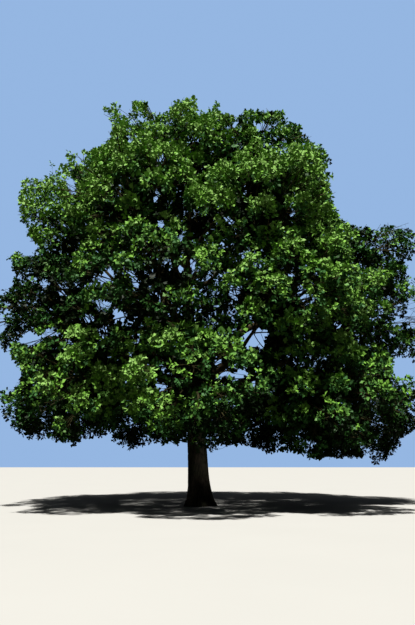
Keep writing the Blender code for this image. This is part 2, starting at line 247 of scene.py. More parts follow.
masses = layOutMasses()
limbs = layOutLimbs(masses)
foliageNodes = ["foliage_" + mass["name"] for mass in masses]
print("laid out", len(masses), "masses and", len(limbs), "limbs")


# Trunk and boughs: tubes with the bark's ridges and cracks

bark = dict(
    ridgeWidth=0.075, ridgeLength=0.34, ridgeMiddle=0.6, crackSharpness=3.4,
    wander=0.35, wanderScale=0.31, fineShare=0.3, fineScale=2.3, fineOffset=(7.1, 3.3, 5.9),
    trunkDepth=0.026, thinsUp=0.05, limbDepth=0.016, depthShare=0.088,
    lumpSize=0.275, lumpDepth=0.05, noiseStep=3.7, noiseCycle=97, seamGap=0.0002,
    # a limb swells where it leaves what carries it, which hides its first part
    collarSpread=0.5, collarReach=0.2, trunkHides=0.36, limbHides=1.2,
    crooked=0.14, crookedLength=1.1, crookedSeed=7.3, crookedAxis=11.1, evenPoints=3,
)
# squares round and along each tube
barkSquares = dict(trunk=(256, 170), leader=(96, 300), thick=(44, 150), thin=(32, 110),
                   thickFrom=0.13)


def trunkRadius(height, bearing):
    heights, radii = zip(*trunk["radii"])
    lobe = 0.5 + 0.5 * math.cos(trunk["buttresses"] * bearing + trunk["buttressTurn"])
    spread = trunk["buttressSpread"] * math.exp(-height / trunk["buttressHeight"])
    return float(np.interp(height, heights, radii)) + spread * lobe


def ridgeHeight(place):
    # 0 at the bottom of a crack, 1 on a ridge; cracks run along the limb and join
    bend = noise.noise(place * bark["wanderScale"]) * bark["wander"]
    coarse = abs(noise.noise(Vector((place.x + bend, place.y - bend, place.z))))
    fine = abs(noise.noise(place * bark["fineScale"] + Vector(bark["fineOffset"])))
    coarse = min(1.0, coarse * bark["crackSharpness"])
    fine = min(1.0, fine * bark["crackSharpness"])
    coarse = coarse * (2.0 - coarse)
    return coarse * (1.0 - bark["fineShare"]) + fine * bark["fineShare"]


def tubeSides(path):
    # two directions square to the path, carried along it without twisting
    heading = unit(np.gradient(path, axis=0))
    side = squareTo(heading[0])[0]
    sides = []
    for direction in heading:
        side = unit(side - direction * np.dot(side, direction))
        sides.append(side)
    return np.array(sides), np.cross(heading, sides)


def barkTube(name, path, radiusAt, depthAt, squares, level=False):
    # a sheet of squares is wrapped round the path and its seam merged
    around, along = squares
    path = pointAlong(path, np.linspace(0.0, 1.0, along + 1))
    runs = runsAlong(path)
    side, other = tubeSides(path)
    if level:
        side[:] = (1.0, 0.0, 0.0)
        other[:] = (0.0, 1.0, 0.0)
    bm = bmesh.new()
    bmesh.ops.create_grid(bm, x_segments=around, y_segments=along, size=0.5)
    ridges = bm.verts.layers.float.new("ridge")
    letters = sum(map(ord, name)) % bark["noiseCycle"]
    offset = Vector((len(name) * bark["noiseStep"], letters, 0.0))
    for vertex in bm.verts:
        bearing = (vertex.co.x + 0.5) * fullTurn
        ring = round((vertex.co.y + 0.5) * along)
        run = float(runs[ring])
        radius = radiusAt(run, bearing)
        out = Vector(side[ring]) * math.cos(bearing) + Vector(other[ring]) * math.sin(bearing)
        surface = Vector((math.cos(bearing) * radius / bark["ridgeWidth"],
                          math.sin(bearing) * radius / bark["ridgeWidth"],
                          run / bark["ridgeLength"])) + offset
        ridge = ridgeHeight(surface)
        lumps = noise.noise(surface * bark["ridgeWidth"] / bark["lumpSize"] + offset)
        relief = depthAt(run) * (ridge - bark["ridgeMiddle"])
        vertex[ridges] = ridge
        vertex.co = Vector(path[ring]) + out * (radius * (1.0 + bark["lumpDepth"] * lumps) + relief)
    bmesh.ops.remove_doubles(bm, verts=bm.verts[:], dist=bark["seamGap"])
    rims = [edge for edge in bm.edges if edge.is_boundary]
    bmesh.ops.holes_fill(bm, edges=rims, sides=0)
    bmesh.ops.triangulate(bm, faces=[face for face in bm.faces if len(face.verts) > 4])
    bmesh.ops.recalc_face_normals(bm, faces=bm.faces[:])
    return bm


def finishPiece(name, mesh, material):
    piece = addObject(name, mesh)
    mesh.materials.append(material)
    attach(piece, "root")
    return piece


def barkPiece(name, bm, material):
    mesh = meshOf(name, bm)
    mesh.shade_smooth()
    return finishPiece(name, mesh, material)


def crook(path, seed):
    # a real limb isn't a clean curve: it wanders, but keeps its two ends
    share = np.linspace(0.0, 1.0, len(path))
    run = np.linalg.norm(path[-1] - path[0]) * share / bark["crookedLength"]
    row = seed * bark["crookedSeed"]
    drift = np.array([[noise.noise(Vector((at, row, axis * bark["crookedAxis"])))
                       for axis in range(3)] for at in run])
    return path + drift * (bark["crooked"] * np.sin(share * math.pi))[:, None]


def addTrunk(material):
    fork = trunk["forkHeight"]
    heights = np.linspace(0.0, fork + trunk["runsOn"], trunk["points"])
    line = np.array([trunkCentre(height) for height in heights])
    above = heights > fork - leader["sink"]
    path = limbs[0]["path"]
    line[above, :2] = pointsAt(heights[above], path[:, 2], path)[:, :2]

    def radiusAt(run, bearing):
        return trunkRadius(min(run, fork), bearing) - max(0.0, run - fork) * trunk["tucksIn"]

    def depthAt(run):
        return bark["trunkDepth"] * (1.0 - bark["thinsUp"] * run)

    bm = barkTube("trunk_bark", line, radiusAt, depthAt, barkSquares["trunk"], level=True)
    for vertex in bm.verts:
        vertex.co.z = max(vertex.co.z, 0.0)
    piece = barkPiece("trunk_bark", bm, material)
    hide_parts("trunk")


def stemLine(limb):
    # the limb runs on into its mass, to the hub that its branches leave
    tip = limb["path"][-1]
    heading = unit(tip - limb["path"][-limbRule["tipPoints"]])
    bend = tip + heading * limbRule["stemReach"]
    centre = limb["mass"]["centre"]
    hub = centre + (bend - centre) * limbRule["hubShare"]
    return arc(tip, bend, hub, limbRule["stemPoints"])


def limbTube(limb, squares):
    stem = stemLine(limb)
    limb["stem"] = stem
    line = crook(limb["path"], len(limb["name"]) + limb["path"][-1][0])
    line = np.concatenate([line, stem[1:]])
    tip = limb["radii"][-1]
    stemRadii = np.linspace(tip, tip * limbRule["stemTaper"], len(stem) - 1)
    radii = np.concatenate([limb["radii"], stemRadii])
    runs = runsAlong(line)
    hidden = bark["trunkHides"] if limb["onTrunk"] else limb["radii"][0] * bark["limbHides"]

    def radiusAt(run, bearing):
        collar = bark["collarSpread"] * math.exp(-max(0.0, run - hidden) / bark["collarReach"])
        return float(np.interp(run, runs, radii)) * (1.0 + collar)

    def depthAt(run):
        return min(bark["limbDepth"], radiusAt(run, 0.0) * bark["depthShare"])

    spacing = np.linspace(0.0, runs[-1], bark["evenPoints"] * len(line))
    return barkTube(limb["name"], pointsAt(spacing, runs, line), radiusAt, depthAt, squares)


def addLimbs(material):
    piece = barkPiece("leader_bark", limbTube(limbs[0], barkSquares["leader"]), material)
    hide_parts("leader")
    for tier in tiers:
        joined = bmesh.new()
        boughs = [limb for limb in limbs if limb["mass"]["tier"] is tier]
        for limb in boughs:
            thick = limb["radii"][0] > barkSquares["thickFrom"]
            held = meshOf("held", limbTube(limb, barkSquares["thick" if thick else "thin"]))
            joined.from_mesh(held)
            bpy.data.meshes.remove(held)
        piece = barkPiece(f"boughs_{tier['name']}_bark", joined, material)
        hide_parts(*(limb["name"] for limb in boughs))


# Foliage: branches, shoots and twigs, grown by the solids' rule

foliage = dict(
    # branches, from the hub of a mass
    branches=36, branchShare=0.7, branchScatter=0.17, branchBend=0.09, branchArch=0.1,
    branchRadius=0.032, branchTip=0.014, branchPoints=7, branchSides=5,
    rootPlace=0.55, rootFacing=0.45, rootScatter=0.2, rootRange=(0.1, 1.0),
    reachTries=(0.2, 1.0, 33), fullReach=0.99, leastReach=0.4, inwardLimit=-0.55,
    creaseShare=0.92, creasePlace=0.84, creaseWidth=1.5, creaseReach=0.2, mingle=0.25,
    swell=0.7, swellRange=(-0.1, 0.2), wideGap=40, shorterShares=(0.85, 0.8, 0.75),
    # shoots, in a clump at each branch's end
    clumpShare=0.19, clumpRange=(0.8, 1.2), shoots=8, shootCover=0.68, leanOut=0.6, leanUp=0.6,
    shootRange=(0.62, 0.95), shootRoots=(0.55, 1.0), shootSweep=0.18, shootBend=0.07,
    shootRadius=0.011, shootTip=0.006, shootPoints=3, shootSides=3,
    innerShoots=2, innerReach=(0.25, 0.7), innerLength=0.6, innerRange=(0.6, 1.1),
    # twigs, in a spray at each shoot's end
    twigs=6, twigCover=0.8, twigShare=0.44, twigRange=(0.6, 1.1), twigRoots=(0.0, 0.6),
    twigRadius=0.0045, longTwigs=0.12, longShare=1.6, sprayOut=0.35, sprayUp=0.2,
    # which twigs are kept
    fullDepth=1.8, thinDepth=3.9, thinPower=1.5, leastKept=0.2, innerKept=0.65, innerDepth=4.8,
    limbGap=0.06, tipReach=0.1, boxMargin=0.08,
)
# how much of its solid's reach a mass's foliage fills
reachShare = dict(usual=0.95, upper_1=0.9, upper_2=0.88, upper_3=0.9, high_1=0.98)
# more branches than usual where the crown's edge would show thin
moreBranches = dict(high_1=8, mid_1=8, upper_2=4, upper_3=4, high_4=4, low_1=4, high_6=6,
                    mid_7=4)
# the gaps that show sky, as the view has them: across, down, width and height in its pixels;
# most of the first 43 were measured by a script, and the wide ones after them set by eye
skyGaps = (
    (255, 337, 23, 22), (221, 367, 13, 17), (239, 373, 14, 10), (252, 382, 5, 5),
    (31, 340, 20, 11), (51, 333, 15, 8), (70, 341, 6, 5), (89, 319, 8, 7), (101, 305, 18, 8),
    (119, 317, 12, 8), (103, 331, 14, 9), (136, 340, 7, 9), (84, 323, 6, 6), (160, 296, 12, 12),
    (190, 263, 10, 9), (181, 267, 7, 6), (132, 273, 5, 7), (109, 275, 10, 10), (236, 293, 11, 12),
    (229, 221, 7, 6), (308, 299, 10, 7), (300, 291, 7, 5), (289, 272, 5, 8), (337, 326, 9, 8),
    (166, 265, 7, 7), (137, 284, 6, 5), (103, 279, 8, 7),
    (380, 311, 6, 8), (161, 387, 9, 7), (181, 234, 7, 5), (162, 224, 7, 5),
    (71, 186, 6, 13), (78, 160, 7, 7), (155, 195, 5, 12), (162, 158, 8, 5), (263, 127, 4, 5),
    (291, 212, 6, 7), (46, 285, 8, 5), (64, 293, 7, 5), (412, 313, 10, 26), (404, 367, 20, 16),
    (10, 376, 22, 26), (1, 324, 6, 16), (92, 128, 36, 40), (10, 232, 34, 24), (8, 212, 20, 40),
    (350, 192, 34, 50), (368, 214, 50, 26), (268, 101, 70, 18), (300, 112, 26, 18),
    (73, 140, 40, 18), (28, 160, 30, 26), (148, 96, 44, 9), (28, 247, 15, 16), (3, 278, 20, 26),
    (125, 108, 12, 14), (322, 133, 26, 20), (334, 153, 10, 14), (230, 98, 20, 14),
    (14, 186, 10, 20), (165, 456, 66, 22), (238, 458, 58, 22), (98, 456, 60, 18),
    (340, 469, 72, 20), (290, 461, 36, 14), (175, 93, 30, 13), (158, 106, 18, 12),
    (232, 108, 24, 12), (34, 171, 26, 13), (309, 130, 12, 14), (403, 221, 18, 15),
    (392, 211, 34, 15), (5, 268, 12, 12),
)
gapEdge = 2.8


def inSkyGap(points, least=0):
    # whether a point stands in one of the gaps of at least a size, as the camera sees it
    pitch = math.radians(cameraView["pitch"])
    pixelsAcross, pixelsDown = cameraView["pixels"]
    away = points - np.array(cameraView["place"])
    depth = away[:, 1] * math.cos(pitch) + away[:, 2] * math.sin(pitch)
    rise = away[:, 2] * math.cos(pitch) - away[:, 1] * math.sin(pitch)
    focal = cameraView["lens"] / cameraView["sensor"] * pixelsDown
    across = pixelsAcross / 2 + focal * away[:, 0] / depth
    down = pixelsDown / 2 - focal * rise / depth
    found = np.zeros(len(points), bool)
    for gapAcross, gapDown, width, height in skyGaps:
        if width + height < least:
            continue
        found |= (((across - gapAcross) / (width / 2 + gapEdge)) ** 2
                  + ((down - gapDown) / (height / 2 + gapEdge)) ** 2 < 1.0)
    return found


def limbSegments():
    # short straight pieces of trunk, leader and boughs: start, end and radius
    heights = np.linspace(0.0, trunk["forkHeight"], trunk["segmentPoints"])
    trunkLine = np.array([trunkCentre(height) for height in heights])
    step = limbRule["segmentStep"]
    lines = [(trunkLine, np.interp(heights, *zip(*trunk["radii"])))]
    lines += [(limb["path"][::step], limb["radii"][::step]) for limb in limbs]
    return [(path[at], path[at + 1], max(girth[at:at + 2]))
            for path, girth in lines for at in range(len(path) - 1)]


def distanceToLimbs(points, segments):
    best = np.full(len(points), np.inf)
    for start, end, radius in segments:
        along = end - start
        share = np.clip((points - start) @ along / (along @ along), 0.0, 1.0)
        gap = np.linalg.norm(points - start - share[:, None] * along, axis=1) - radius
        best = np.minimum(best, gap)
    return best


def inOwnSpace(points, mass, swell=0.0):
    # inside the mass's ellipsoid, and not far past the plane to each neighbour
    offset = (((points - mass["centre"]) * stretch) ** 2).sum(-1)
    power = offset - mass["size"] ** 2
    nearest = np.full(offset.shape, np.inf)
    for other in masses:
        if other is mass:
            continue
        theirs = (((points - other["centre"]) * stretch) ** 2).sum(-1) - other["size"] ** 2
        slope = 2 * np.linalg.norm((other["centre"] - mass["centre"]) * stretch ** 2)
        nearest = np.minimum(nearest, (theirs - power) / slope)
    # sprays reach out a little farther where two masses meet, and close the crease
    crease = np.clip(1.0 - nearest / foliage["creaseWidth"], 0.0, 1.0)
    reach = reachShare.get(mass["name"], reachShare["usual"]) + foliage["creaseReach"] * crease
    reach = reach + swell
    return (offset < (mass["size"] * reach) ** 2) & (nearest > -foliage["mingle"])


def depthInCrown(points):
    # how far the crown's outer surface lies beyond a point, seen from the heart
    away = points - heart
    distance = np.linalg.norm(away, axis=-1)
    heading = away / distance[..., None]
    farthest = np.zeros(points.shape[:-1])
    for mass in masses:
        # the far root of the line's quadratic with the mass's ellipsoid
        offset = (heart - mass["centre"]) * stretch
        a = ((heading * stretch) ** 2).sum(-1)
        b = (heading * stretch) @ offset
        inside = b ** 2 - a * (offset @ offset - mass["size"] ** 2)
        far = (-b + np.sqrt(np.maximum(inside, 0.0))) / a
        farthest = np.where(inside > 0, np.maximum(farthest, far), farthest)
    return farthest - distance


def growBranches(limb, rng):
    mass = limb["mass"]
    rule = foliage
    count = rule["branches"] + moreBranches.get(mass["name"], 0)
    headings = evenDirections(count, mass["outward"][None], rng.uniform(0, fullTurn, 1))[0]
    toEdge = headings * mass["radii"]
    shares = np.linspace(*rule["reachTries"])
    tries = mass["centre"] + toEdge[:, None] * shares[:, None]
    clear = np.cumprod(inOwnSpace(tries, mass), axis=1).sum(axis=1)
    reach = shares[np.maximum(clear, 1) - 1]
    facing = headings @ mass["outward"]
    scatter = rule["branchScatter"]
    share = np.where(reach < rule["fullReach"], rule["creasePlace"], rule["branchShare"])
    share = share * rng.uniform(1 - scatter, 1 + scatter, count)
    share = np.minimum(share, rule["creaseShare"] * reach)
    # a branch that would stand in a wide gap stops short of it
    for shorter in rule["shorterShares"]:
        ends = mass["centre"] + toEdge * share[:, None]
        share = np.where(inSkyGap(ends, rule["wideGap"]), share * shorter, share)
    ends = mass["centre"] + toEdge * share[:, None]
    kept = (reach > rule["leastReach"]) & (facing > rule["inwardLimit"])
    kept &= ~inSkyGap(ends, rule["wideGap"])
    ends = ends[kept]
    count = len(ends)
    # a clump that stands farther out than most may pass the mass's edge
    swell = rule["swell"] * np.clip(share[kept] / rule["branchShare"] - 1.0, *rule["swellRange"])
    place = rule["rootPlace"] + rule["rootFacing"] * facing[kept]
    place = place + rng.uniform(-rule["rootScatter"], rule["rootScatter"], count)
    starts = pointAlong(limb["stem"], np.clip(place, *rule["rootRange"]))
    lengths = np.linalg.norm(ends - starts, axis=1)
    bends = (starts + ends) / 2 + up * (rule["branchArch"] * lengths)[:, None]
    bends = bends + rng.normal(0.0, rule["branchBend"], (count, 3)) * lengths[:, None]
    clump = mass["size"] * rule["clumpShare"] * rng.uniform(*rule["clumpRange"], count)
    return dict(ends=ends, heading=unit(ends - bends), clump=clump, swell=swell,
                lines=arc(starts, bends, ends, rule["branchPoints"]))


def growShoots(mass, branches, rng):
    # each branch ends in a clump of shoots, and carries a few more on its way
    rule = foliage
    ends = branches["ends"]
    count = len(ends)
    leaning = branches["heading"] + rule["leanOut"] * unit(ends - heart) + rule["leanUp"] * up
    outer = evenDirections(rule["shoots"], unit(leaning), rng.uniform(0, fullTurn, count),
                           rule["shootCover"])
    inner = evenDirections(rule["innerShoots"], unit(rng.normal(0, 1, (count, 3))),
                           rng.uniform(0, fullTurn, count))
    lengths = branches["clump"][:, None] * rng.uniform(*rule["shootRange"], outer.shape[:2])
    outerEnds = ends[:, None] + outer / stretch * lengths[..., None]
    onWay = rng.uniform(*rule["innerReach"], inner.shape[:2])
    innerRoots = np.array([pointAlong(*pair) for pair in zip(branches["lines"], onWay)])
    lengths = rule["innerLength"] * rng.uniform(*rule["innerRange"], onWay.shape)
    innerEnds = innerRoots + inner * lengths[..., None]
    nearTip = rng.uniform(*rule["shootRoots"], outer.shape[:2])
    outerRoots = np.array([pointAlong(*pair) for pair in zip(branches["lines"], nearTip)])

    starts = np.concatenate([outerRoots, innerRoots], axis=1).reshape(-1, 3)
    ends = np.concatenate([outerEnds, innerEnds], axis=1).reshape(-1, 3)
    perBranch = rule["shoots"] + rule["innerShoots"]
    owner = np.repeat(np.arange(count), perBranch)
    isInner = np.tile(np.arange(perBranch) >= rule["shoots"], count)
    inside = inOwnSpace(ends, mass, branches["swell"][owner])
    starts, ends, owner, isInner = (part[inside] for part in (starts, ends, owner, isInner))
    lengths = np.linalg.norm(ends - starts, axis=1, keepdims=True)
    sweep = branches["heading"][owner] * lengths * rule["shootSweep"]
    bends = (starts + ends) / 2 + sweep
    bends = bends + rng.normal(0.0, rule["shootBend"], ends.shape) * lengths
    heading = unit(ends - bends) + rule["sprayOut"] * unit(ends - heart) + rule["sprayUp"] * up
    return dict(ends=ends, heading=unit(heading), owner=owner, inner=isInner,
                lines=arc(starts, bends, ends, rule["shootPoints"]))


def growTwigs(branches, shoots, rng):
    # each shoot ends in a spray of twigs
    rule = foliage
    ends = shoots["ends"]
    headings = evenDirections(rule["twigs"], shoots["heading"],
                              rng.uniform(0, fullTurn, len(ends)), rule["twigCover"])
    lengths = branches["clump"][shoots["owner"]][:, None] * rule["twigShare"]
    lengths = lengths * rng.uniform(*rule["twigRange"], headings.shape[:2])
    isLong = rng.uniform(0, 1, lengths.shape) < rule["longTwigs"]
    lengths = lengths * np.where(isLong, rule["longShare"], 1.0)
    spray = np.repeat(np.arange(len(ends)), rule["twigs"])
    back = (shoots["lines"][:, 1] - ends)[spray]
    starts = ends[spray] + back * rng.uniform(*rule["twigRoots"], len(spray))[:, None]
    return dict(starts=starts, ends=(ends[:, None] + headings * lengths[..., None]).reshape(-1, 3),
                lengths=lengths.ravel(), spray=spray)


# painted light and shade in the leaves' tints: foliage is lighter or darker than the rest by its
# place, as light falls there, and partly by chance
tones = dict(
    litOut=0.45, litUp=0.9, litGain=0.85, innerPaintedShade=-0.7, massGain=0.25, twigGain=0.3,
    heightLift=((2.6, -0.3), (4.0, 0.15), (6.0, 0.08), (8.5, -0.1), (11.0, 0.05), (16.5, 0.55)),
    sprigLift=0.3, sprayChance=0.35, twigChance=0.85, depthPaintedShade=0.18, deepest=4.0,
)
# painted light and shade: how much lighter each mass is than its height makes it, darker where
# below zero
massPaintedLight = dict(upper_1=0.5, upper_5=0.35, high_5=0.65, high_4=0.6, high_6=0.6, high_1=0.2,
                mid_5=-0.45, mid_4=-0.5, mid_7=0.45, mid_1=0.4,
                low_5=0.4, low_4=-0.3, low_6=0.25, low_7=0.1, low_1=-0.1)
# and how much more so on its right side than in its middle, painted light and shade on one side
sidePaintedLight = dict(low_6=-0.75, low_5=0.75, low_1=-0.6, low_7=-0.6, mid_4=0.9, mid_5=-0.35,
                mid_1=-0.9, high_1=-0.5)


def twigPaintedLight(mass, branches, shoots, twigs):
    # painted light and shade for each twig: lighter by how far each spray stands to the lit side of
    # its clump, and each twig of its spray; inner shoots darker as painted shade; lighter or darker
    # by height and by mass
    ends, owner, spray = shoots["ends"], shoots["owner"], twigs["spray"]
    lit = unit(branches["ends"] - heart) * tones["litOut"] + up * tones["litUp"]
    towards = ((ends - branches["ends"][owner]) * lit[owner]).sum(-1)
    lift = tones["litGain"] * towards / branches["clump"][owner]
    lift = np.where(shoots["inner"], tones["innerPaintedShade"], lift)
    across, _, above = (ends - mass["centre"]).T
    lift += tones["massGain"] * above / mass["size"]
    lift += np.interp(ends[:, 2], *zip(*tones["heightLift"]))
    lift += massPaintedLight.get(mass["name"], 0.0)
    lift += sidePaintedLight.get(mass["name"], 0.0) * across / mass["size"]
    rise = (twigs["ends"] - ends[spray]) @ up
    return lift[spray] + tones["twigGain"] * rise / twigs["lengths"]


def growMass(limb, rng):
    mass = limb["mass"]
    branches = growBranches(limb, rng)
    shoots = growShoots(mass, branches, rng)
    twigs = growTwigs(branches, shoots, rng)
    spray = twigs["spray"]
    branch = shoots["owner"][spray]
    return dict(mass=mass, branchLines=branches["lines"], shootLines=shoots["lines"],
                starts=twigs["starts"], ends=twigs["ends"], spray=spray, branch=branch,
                inner=shoots["inner"][spray], swell=branches["swell"][branch],
                lift=twigPaintedLight(mass, branches, shoots, twigs))


def keptTwigs(grown, segments, rng):
    # twigs thin out with depth, and keep out of other masses and gaps and off the limbs
    rule = foliage
    ends = grown["ends"]
    depth = depthInCrown(ends)
    fade = np.clip((rule["thinDepth"] - depth) / (rule["thinDepth"] - rule["fullDepth"]), 0, 1)
    chance = rule["leastKept"] + (1 - rule["leastKept"]) * fade ** rule["thinPower"]
    chance = np.where(grown["inner"] & (depth < rule["innerDepth"]), rule["innerKept"], chance)
    tips = ends + unit(ends - grown["starts"]) * rule["tipReach"]
    kept = rng.uniform(0, 1, len(ends)) < chance
    kept &= inOwnSpace(tips, grown["mass"], grown["swell"])
    kept &= (tips > boxLow - rule["boxMargin"]).all(axis=1)
    kept &= (tips < boxHigh + rule["boxMargin"]).all(axis=1)
    kept &= distanceToLimbs(ends, segments) > rule["limbGap"]
    kept &= ~inSkyGap(ends)
    return kept, depth


# the leafy shoots that grow straight from the trunk
sprigs = (dict(height=2.45, bearing=258.0), dict(height=2.9, bearing=118.0))
sprigRule = dict(twigs=3, length=0.3, lengthRange=(0.6, 1.0), sink=0.03, rise=0.7, cover=0.3)


def trunkSprigs(rng):
    rule = sprigRule
    starts, ends = [], []
    for sprig in sprigs:
        bearing = math.radians(sprig["bearing"])
        out = np.array([math.cos(bearing), math.sin(bearing), 0.0])
        radius = trunkRadius(sprig["height"], bearing) - rule["sink"]
        root = trunkCentre(sprig["height"]) + out * radius
        heading = unit(out + rule["rise"] * up)[None]
        fan = evenDirections(rule["twigs"], heading, [sprig["bearing"]], rule["cover"])[0]
        lengths = rule["length"] * rng.uniform(*rule["lengthRange"], (rule["twigs"], 1))
        starts.append(np.tile(root, (rule["twigs"], 1)))
        ends.append(root + fan * lengths)
    return np.concatenate(starts), np.concatenate(ends)


def growTree(rng):
    segments = limbSegments()
    grown = [growMass(limb, rng) for limb in limbs]
    parts = []
    sprayCount = 0
    for mass in grown:
        kept, depth = keptTwigs(mass, segments, rng)
        # a branch or shoot that has lost all its twigs isn't made
        parts.append(dict(branchLines=mass["branchLines"][np.unique(mass["branch"][kept])],
                          shootLines=mass["shootLines"][np.unique(mass["spray"][kept])],
                          starts=mass["starts"][kept], ends=mass["ends"][kept],
                          depths=depth[kept], lifts=mass["lift"][kept],
                          sprays=mass["spray"][kept] + sprayCount))
        sprayCount += len(mass["shootLines"])
    starts, ends = trunkSprigs(rng)
    parts.append(dict(starts=starts, ends=ends, depths=np.zeros(len(ends)),
                      lifts=np.full(len(ends), tones["sprigLift"]),
                      sprays=np.full(len(ends), sprayCount)))
    tree = {key: np.concatenate([part[key] for part in parts if key in part])
            for key in parts[0]}
    tree["sprayCount"] = sprayCount + 1
    return tree


# Copies of small shapes, joined into one mesh

mostFaces = 199000


def templateArrays(bm):
    bmesh.ops.triangulate(bm, faces=bm.faces[:])
    bm.verts.index_update()
    corners = np.array([vertex.co for vertex in bm.verts])
    faces = np.array([[vertex.index for vertex in face.verts] for face in bm.faces])
    bm.free()
    return corners, faces


def joinedMesh(name, points, faces):
    # one mesh from many copies of a small shape: points is (copies, corners, 3)
    copies, corners = points.shape[:2]
    index = (faces[None] + np.arange(copies)[:, None, None] * corners).reshape(-1)
    mesh = bpy.data.meshes.new(name)
    mesh.vertices.add(copies * corners)
    mesh.vertices.foreach_set("co", points.astype(np.float32).ravel())
    mesh.loops.add(len(index))
    mesh.loops.foreach_set("vertex_index", index.astype(np.int32))
    mesh.polygons.add(len(index) // 3)
    mesh.polygons.foreach_set("loop_start", np.arange(0, len(index), 3, dtype=np.int32))
    mesh.update(calc_edges=True)
    return mesh


def unitCone(sides, tip):
    # a closed cone from 0 to 1 along Z
    bm = bmesh.new()
    bmesh.ops.create_cone(bm, cap_ends=True, segments=sides, radius1=1.0, radius2=tip, depth=1.0)
    bmesh.ops.translate(bm, verts=bm.verts[:], vec=(0.0, 0.0, 0.5))
    return bm


def tubeTemplate(sides, rings):
    # a tube cut into equal lengths
    bm = unitCone(sides, 1.0)
    for cut in np.linspace(0.0, 1.0, rings)[1:-1]:
        bmesh.ops.bisect_plane(bm, geom=bm.verts[:] + bm.edges[:] + bm.faces[:],
                               plane_co=(0.0, 0.0, cut), plane_no=(0.0, 0.0, 1.0))
    return templateArrays(bm)


def twigTemplate():
    # three-sided, and runs out to a point
    bm = unitCone(3, 0.0)
    bmesh.ops.remove_doubles(bm, verts=bm.verts[:], dist=0.001)
    return templateArrays(bm)


leafOutline = ((0.0, 0.0, 0.0), (0.34, 0.42, 0.05), (0.23, 0.60, 0.01), (0.20, 1.0, -0.07),
               (-0.36, 0.76, 0.04), (-0.22, 0.40, 0.01))


def leafTemplate():
    # an oak leaf's outline with alternating lobes, cupped a little
    bm = bmesh.new()
    corners = [bm.verts.new(place) for place in leafOutline]
    for trio in ((0, 1, 2), (0, 2, 5), (5, 2, 3), (5, 3, 4)):
        bm.faces.new([corners[at] for at in trio])
    return templateArrays(bm)


def crossPoints(directions, corners):
    side, other = squareTo(directions)
    return side[:, None] * corners[:, :1] + other[:, None] * corners[:, 1:2]


def tubesAlong(name, lines, startRadius, endRadius, sides):
    # a tapering tube along each line; lines is (copies, rings, 3)
    corners, faces = tubeTemplate(sides, lines.shape[1])
    ring = np.round(corners[:, 2] * (lines.shape[1] - 1)).astype(int)
    radius = startRadius + (endRadius - startRadius) * corners[:, 2:3]
    across = crossPoints(unit(lines[:, -1] - lines[:, 0]), corners)
    return joinedMesh(name, lines[:, ring] + across * radius, faces)


def twigsAlong(name, starts, ends, radius):
    corners, faces = twigTemplate()
    line = ends - starts
    across = crossPoints(unit(line), corners)
    points = starts[:, None] + line[:, None] * corners[:, 2:3] + across * radius
    return joinedMesh(name, points, faces)


# Leaves, in rosettes on the twigs

leafShape = dict(
    length=0.127, sizeSpread=0.22, sizeRange=(0.55, 1.5), stalk=0.01,
    inRosette=6, rosettePlaces=(0.82, 1.0), onTwig=3, twigPlaces=(0.25, 0.8),
    # how far the leaves lean from their twig, in degrees, and the one at its end less
    spread=66.0, spreadScatter=16.0, endLean=0.25, turnScatter=0.3,
    facesOut=0.45, facesUp=1.0, facesAlong=0.4, facingScatter=0.95,
    # deep in the crown they are fewer and larger
    growsFrom=0.8, growsOver=2.5, innerGrowth=1.6, innerDepth=1.3, innerCount=4,
)
# lit and shaded copies of one leaf colour: painted shade in the darkest, painted sunlight in the
# brightest, dealt out by place and partly by chance
leafTints = (
    dict(name="shade", colour=(0.003, 0.010, 0.002), share=0.33),
    dict(name="deep", colour=(0.009, 0.033, 0.005), share=0.16),
    dict(name="cool", colour=(0.027, 0.085, 0.022), share=0.12),
    dict(name="full", colour=(0.066, 0.158, 0.030), share=0.11),
    dict(name="brightLit", colour=(0.110, 0.240, 0.034), share=0.13),
    dict(name="sunny", colour=(0.146, 0.274, 0.062), share=0.15),
)


def spreadLeaves(tree, rng):
    # a rosette of leaves at each twig's end and a few along it
    rule = leafShape
    starts, ends = tree["starts"], tree["ends"]
    count = len(ends)
    each = rule["inRosette"] + rule["onTwig"]
    along = unit(ends - starts)
    side, other = squareTo(along)
    turn = rng.uniform(0, fullTurn, (count, 1)) + np.arange(each) * fullTurn / rule["inRosette"]
    turn = turn + rng.normal(0.0, rule["turnScatter"], (count, each))
    lean = np.radians(rule["spread"] + rng.normal(0.0, rule["spreadScatter"], (count, each)))
    lean[:, 0] *= rule["endLean"]
    around = side[:, None] * np.cos(turn)[..., None] + other[:, None] * np.sin(turn)[..., None]
    heading = along[:, None] * np.cos(lean)[..., None] + around * np.sin(lean)[..., None]
    facing = unit(ends - heart)[:, None] * rule["facesOut"] + up * rule["facesUp"]
    facing = facing + along[:, None] * rule["facesAlong"]
    facing = facing + rng.normal(0.0, rule["facingScatter"], (count, each, 3))
    inner = np.clip((tree["depths"] - rule["growsFrom"]) / rule["growsOver"], 0.0, 1.0)[:, None]
    size = np.clip(rng.normal(1.0, rule["sizeSpread"], (count, each)), *rule["sizeRange"])
    length = rule["length"] * (1.0 + rule["innerGrowth"] * inner) * size
    place = np.concatenate([rng.uniform(*rule["rosettePlaces"], (count, rule["inRosette"])),
                            rng.uniform(*rule["twigPlaces"], (count, rule["onTwig"]))], axis=1)
    root = starts[:, None] + (ends - starts)[:, None] * place[..., None] + heading * rule["stalk"]
    return root, heading, facing, length


def leafPoints(root, heading, facing, length, corners):
    across = unit(np.cross(heading, facing))
    normal = np.cross(across, heading)
    return root[:, None] + (across[:, None] * corners[:, :1] + heading[:, None] * corners[:, 1:2]
                            + normal[:, None] * corners[:, 2:3]) * length[:, None, None]


